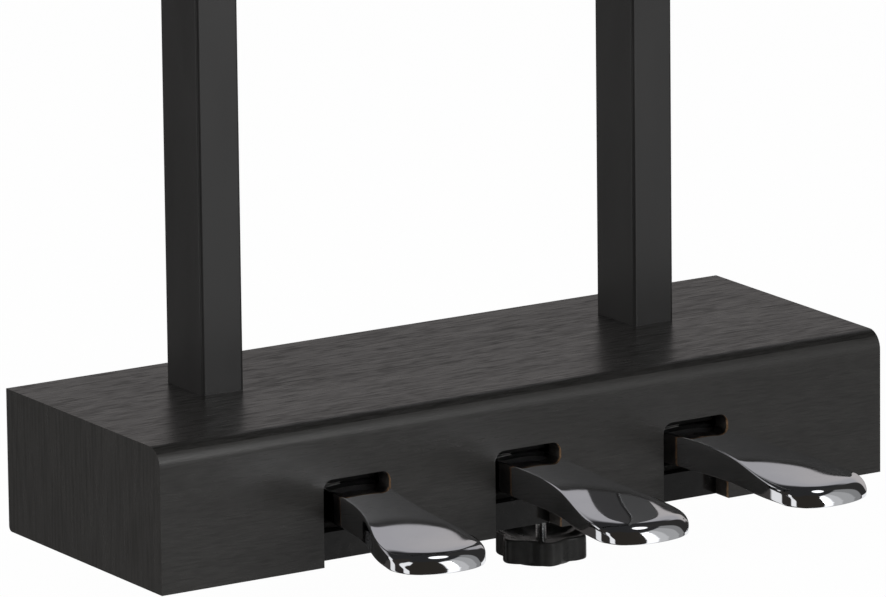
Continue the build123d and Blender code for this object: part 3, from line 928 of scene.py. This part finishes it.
add_piece(make_knob(), knob_plastic, "knob", "knob_plastic", "adjuster_knob")

# Threaded stud: one tooth drawn as a line, wound up turn by turn and trimmed flat at both ends.
# Each stroke of the tooth: out in shares of its depth, up in shares of the pitch
TOOTH = ((0.0, 0.10), (1.0, 0.36), (0.0, 0.14), (-1.0, 0.36), (0.0, 0.04))
SPARE_TURNS = 2


def make_stud():
    bpy.ops.mesh.primitive_plane_add(size=THREAD_PITCH)
    stud = new_piece("threaded_stud")
    edit(stud)
    bpy.ops.mesh.select_all(action="SELECT")
    bpy.ops.mesh.merge(type="CENTER")
    bpy.ops.mesh.select_all(action="SELECT")
    turns = round((SCREW_TOP - SCREW_LOW) / THREAD_PITCH) + SPARE_TURNS
    shift(x=THREAD_ROOT, z=SCREW_LOW - THREAD_PITCH)
    depth = THREAD_CREST - THREAD_ROOT
    for out, up in TOOTH:
        pull(x=out * depth, z=up * THREAD_PITCH)
    apply_modifier(
        stud, "SCREW", axis="Z", angle=2 * math.pi, screw_offset=THREAD_PITCH, iterations=turns,
        steps=STEPS_PER_TURN, render_steps=STEPS_PER_TURN, use_merge_vertices=False)
    tidy_faces(stud)
    for level, keep_below in ((SCREW_TOP, True), (SCREW_LOW, False)):
        edit(stud)
        bpy.ops.mesh.select_all(action="SELECT")
        bpy.ops.mesh.bisect(
            plane_co=(0.0, 0.0, level), plane_no=(0.0, 0.0, 1.0), use_fill=True,
            clear_outer=keep_below, clear_inner=not keep_below)
    tidy_faces(stud)
    place(stud, (ADJUSTER_X, ADJUSTER_Y, 0.0))
    smooth(stud, degrees=30.0)
    return stud


add_piece(make_stud(), bright_zinc, "knob", "zinc_steel", "adjuster_screw")

# Rubber foot: a disc with a rounded edge, grooves underneath and a stem up into the knob.
# Each step of the grooves: width towards the middle, rise
FOOT_GROOVES = ((0.0030, 0.0), (0.0012, 0.0006), (0.0012, -0.0006), (0.0030, 0.0), (0.0012, 0.0006))
ON_EDGE = 0.0001


def make_foot():
    spot = (ADJUSTER_X, ADJUSTER_Y, FLOOR_Z + FOOT_HEIGHT / 2)
    foot = add_cylinder("rubber_foot", FOOT_POINTS, FOOT_RADIUS, FOOT_HEIGHT, spot)
    edit(foot, "FACE")
    pick(foot, "FACE", lambda face: face.normal.z > LEVEL_FACE)
    bpy.ops.mesh.inset(thickness=FOOT_RADIUS - STEM_RADIUS)
    pull(z=STEM_HEIGHT)
    pick(foot, "FACE", lambda face: face.normal.z < -LEVEL_FACE)
    for width, sink in FOOT_GROOVES:
        bpy.ops.mesh.inset(thickness=width)
        shift(z=sink)

    def outer(edge):
        if abs(edge.verts[0].co.z - edge.verts[1].co.z) > ON_EDGE:
            return False
        return all((point.co.xy - Vector(spot).xy).length > FOOT_RADIUS - ON_EDGE for point in edge.verts)

    pick(foot, "EDGE", outer)
    bpy.ops.mesh.bevel(offset=FOOT_EDGE, segments=3)
    tidy_faces(foot)
    smooth(foot, degrees=40.0)
    return foot


add_piece(make_foot(), rubber, "foot", "black_rubber", "foot_pad")


def add_camera():
    azimuth, tilt, roll = (math.radians(v) for v in (CAMERA_AZIMUTH, CAMERA_TILT, CAMERA_ROLL))
    ahead = Vector((math.sin(azimuth) * math.cos(tilt), math.cos(azimuth) * math.cos(tilt), -math.sin(tilt)))
    level = Vector((math.cos(azimuth), -math.sin(azimuth), 0.0))
    fall = ahead.cross(level)
    right = math.cos(roll) * level + math.sin(roll) * fall
    down = math.cos(roll) * fall - math.sin(roll) * level
    eye = -(CAMERA_OFFSET[0] * right + CAMERA_OFFSET[1] * down + CAMERA_OFFSET[2] * ahead)
    eye += Vector((0.0, FRONT_Y, BOX_BOTTOM))
    data = bpy.data.cameras.new("camera")
    data.sensor_width = SENSOR_MM
    data.lens = CAMERA_FOCAL / PHOTO_WIDTH * SENSOR_MM
    data.clip_end = CAMERA_REACH
    camera = bpy.data.objects.new("camera", data)
    scene.collection.objects.link(camera)
    camera.matrix_world = Matrix((
        (right.x, -down.x, -ahead.x, eye.x),
        (right.y, -down.y, -ahead.y, eye.y),
        (right.z, -down.z, -ahead.z, eye.z),
        (0.0, 0.0, 0.0, 1.0),
    ))
    scene.camera = camera


add_camera()

# White table top. It keeps a faint shadow.
# Mirrors look through it to the painted studio, and so does a view from below.
TABLE_FRONT = -0.36
TABLE_DEPTH = 12.0
TABLE_WIDTH = 24.0
TABLE_COLOR = (0.85, 0.85, 0.85, 1.0)
TABLE_ROUGHNESS = 0.9
TABLE_GLOW = 0.985


def add_table():
    only(None)
    bpy.ops.mesh.primitive_plane_add(size=1.0, location=(0.0, TABLE_FRONT + TABLE_DEPTH / 2, FLOOR_Z))
    table = bpy.context.object
    table.name = "table_top"
    table.scale = (TABLE_WIDTH, TABLE_DEPTH, 1.0)
    material = bpy.data.materials.new("white_table")
    material.use_nodes = True
    tree = material.node_tree
    matt = tree.nodes["Principled BSDF"]
    matt.inputs["Base Color"].default_value = TABLE_COLOR
    matt.inputs["Roughness"].default_value = TABLE_ROUGHNESS
    glow = tree.nodes.new("ShaderNodeEmission")
    clear = tree.nodes.new("ShaderNodeBsdfTransparent")
    ray = tree.nodes.new("ShaderNodeLightPath").outputs
    underside = tree.nodes.new("ShaderNodeNewGeometry").outputs["Backfacing"]
    seen = math_node(tree, "MAXIMUM", ray["Is Camera Ray"], ray["Is Transmission Ray"])
    white = shader_mix(tree, math_node(tree, "MULTIPLY", seen, TABLE_GLOW), matt.outputs[0], glow.outputs[0])
    open_to = math_node(tree, "MAXIMUM", ray["Is Glossy Ray"], underside)
    surface = shader_mix(tree, open_to, white, clear.outputs[0])
    tree.links.new(surface, tree.nodes["Material Output"].inputs[0])
    table.data.materials.append(material)


add_table()


# Share of a round lamp inside its soft edge
DISC_CORE = 0.8


# Studio: grey backdrop behind, a dark room in front, bright panels on the camera's side
class Sky:
    def __init__(self, color):
        self.world = bpy.data.worlds.new("studio")
        scene.world = self.world
        self.world.use_nodes = True
        self.tree = self.world.node_tree
        self.ray = self.tree.nodes.new("ShaderNodeTexCoord").outputs["Generated"]
        parts = self.tree.nodes.new("ShaderNodeSeparateXYZ")
        self.tree.links.new(self.ray, parts.inputs[0])
        right, back, up = parts.outputs[:3]
        self.rise = self.math("ARCSINE", up)
        self.turn = self.math("ARCTAN2", right, self.math("MULTIPLY", back, -1.0))
        self.level = (*color, 1.0)

    def math(self, operation, first, second=0.0):
        return math_node(self.tree, operation, first, second)

    def step(self, value, start, end):
        """0 before start, 1 past end, eased between. The limits are in degrees."""
        node = self.tree.nodes.new("ShaderNodeMapRange")
        node.interpolation_type = "SMOOTHSTEP"
        node.inputs["From Min"].default_value = math.radians(start)
        node.inputs["From Max"].default_value = math.radians(end)
        self.tree.links.new(value, node.inputs["Value"])
        return node.outputs["Result"]

    def band(self, value, limits, soft):
        """1 between two limits, with soft edges inside them."""
        low, high = limits
        return self.math("MULTIPLY", self.step(value, low, low + soft), self.step(value, high, high - soft))

    def patch(self, turns, rises, soft):
        """Soft-edged rectangle of the sky: turns from the front to the right, rises over the horizon."""
        return self.math("MULTIPLY", self.band(self.turn, turns, soft), self.band(self.rise, rises, soft))

    def disc(self, turn, rise, radius):
        """Round patch about a direction, with a soft edge."""
        turn, rise = math.radians(turn), math.radians(rise)
        level = math.cos(rise)
        node = self.tree.nodes.new("ShaderNodeVectorMath")
        node.operation = "DOT_PRODUCT"
        self.tree.links.new(self.ray, node.inputs[0])
        node.inputs[1].default_value = (level * math.sin(turn), -level * math.cos(turn), math.sin(rise))
        away = self.math("ARCCOSINE", node.outputs["Value"])
        return self.step(away, radius, DISC_CORE * radius)

    def lay(self, fac, color):
        """Lays a colour over what is there, by a mask."""
        self.level = color_mix(self.tree, fac, self.level, (*color, 1.0))


ROOM = (0.07, 0.07, 0.073)
WHITE = (1.0, 1.0, 1.0)
# Backdrop, ceiling and ground, with the turns or rises in degrees over which they begin
BACKDROP_TURNS = (70.0, 110.0)
BACKDROP_LOW = (0.472, 0.445, 0.437)
BACKDROP_RISES = (14.0, 28.0)
BACKDROP_HIGH = (0.38, 0.372, 0.386)
CEILING_RISES = (36.0, 46.0)
CEILING = (0.024, 0.024, 0.025)
GROUND_RISES = (-1.0, -4.0)
GROUND = (0.05, 0.046, 0.044)
# Panels, each laid over the ones before: turns, rises, width of the soft edge, colour
PANELS = (
    # Low white panel and dark doorway to the right and behind
    ((88.0, 150.0), (-90.0, -6.0), 4.0, (0.95, 0.95, 0.95)),
    ((80.0, 119.0), (-7.0, 70.0), 4.0, (0.030, 0.029, 0.028)),
    # Pale panels to the right, brighter towards the front
    ((9.0, 86.0), (-90.0, 58.0), 4.0, (0.24, 0.24, 0.24)),
    ((9.0, 68.0), (-90.0, 58.0), 4.0, (0.38, 0.38, 0.38)),
    ((9.0, 46.0), (-90.0, 58.0), 4.0, (0.55, 0.55, 0.55)),
    ((9.0, 31.0), (-90.0, 58.0), 4.0, (1.25, 1.25, 1.25)),
    # Dark room in front
    ((-77.0, 12.0), (-90.0, 70.0), 4.0, (0.026, 0.023, 0.020)),
    # White strip to the left, a dark gap, and a pale panel behind
    ((-92.0, -72.0), (-30.0, 60.0), 4.0, (0.95, 0.95, 0.95)),
    ((-123.0, -90.0), (-90.0, 70.0), 3.0, (0.030, 0.027, 0.025)),
    ((-142.0, -120.0), (-40.0, 40.0), 3.0, (0.85, 0.85, 0.85)),
)
# Round lamp overhead: turn, rise and radius in degrees
ROUND_LAMP = (80.0, 75.0, 9.0)
ROUND_LAMP_COLOR = (1.6, 1.6, 1.6)


def add_studio():
    sky = Sky(ROOM)
    behind = sky.step(sky.math("ABSOLUTE", sky.turn), *BACKDROP_TURNS)
    sky.lay(behind, BACKDROP_LOW)
    sky.lay(sky.math("MULTIPLY", behind, sky.step(sky.rise, *BACKDROP_RISES)), BACKDROP_HIGH)
    sky.lay(sky.step(sky.rise, *CEILING_RISES), CEILING)
    sky.lay(sky.step(sky.rise, *GROUND_RISES), GROUND)
    for turns, rises, soft, color in PANELS:
        sky.lay(sky.patch(turns, rises, soft), color)
    sky.lay(sky.disc(*ROUND_LAMP), ROUND_LAMP_COLOR)
    path = sky.tree.nodes.new("ShaderNodeLightPath")
    sky.lay(path.outputs["Is Camera Ray"], WHITE)
    sky.tree.links.new(sky.level, sky.tree.nodes["Background"].inputs["Color"])


LAMP_TARGET = Vector((0.0, -0.10, -0.45))
LAMP_DISTANCE = 2.6


def add_lamp(name, toward, size, power, mirrored):
    data = bpy.data.lights.new(name, "AREA")
    data.shape = "RECTANGLE"
    data.size, data.size_y = size
    data.energy = power
    lamp = bpy.data.objects.new(name, data)
    lamp.visible_glossy = mirrored
    scene.collection.objects.link(lamp)
    away = Vector(toward).normalized()
    lamp.location = LAMP_TARGET + LAMP_DISTANCE * away
    lamp.rotation_euler = away.to_track_quat("Z", "Y").to_euler()


add_studio()
add_lamp("key_lamp", toward=(0.32, -1.0, 0.50), size=(0.45, 2.0), power=33.0, mirrored=True)
add_lamp("left_fill", toward=(-1.0, -0.35, 0.55), size=(1.0, 1.6), power=44.0, mirrored=False)

scene.view_settings.view_transform = "Standard"
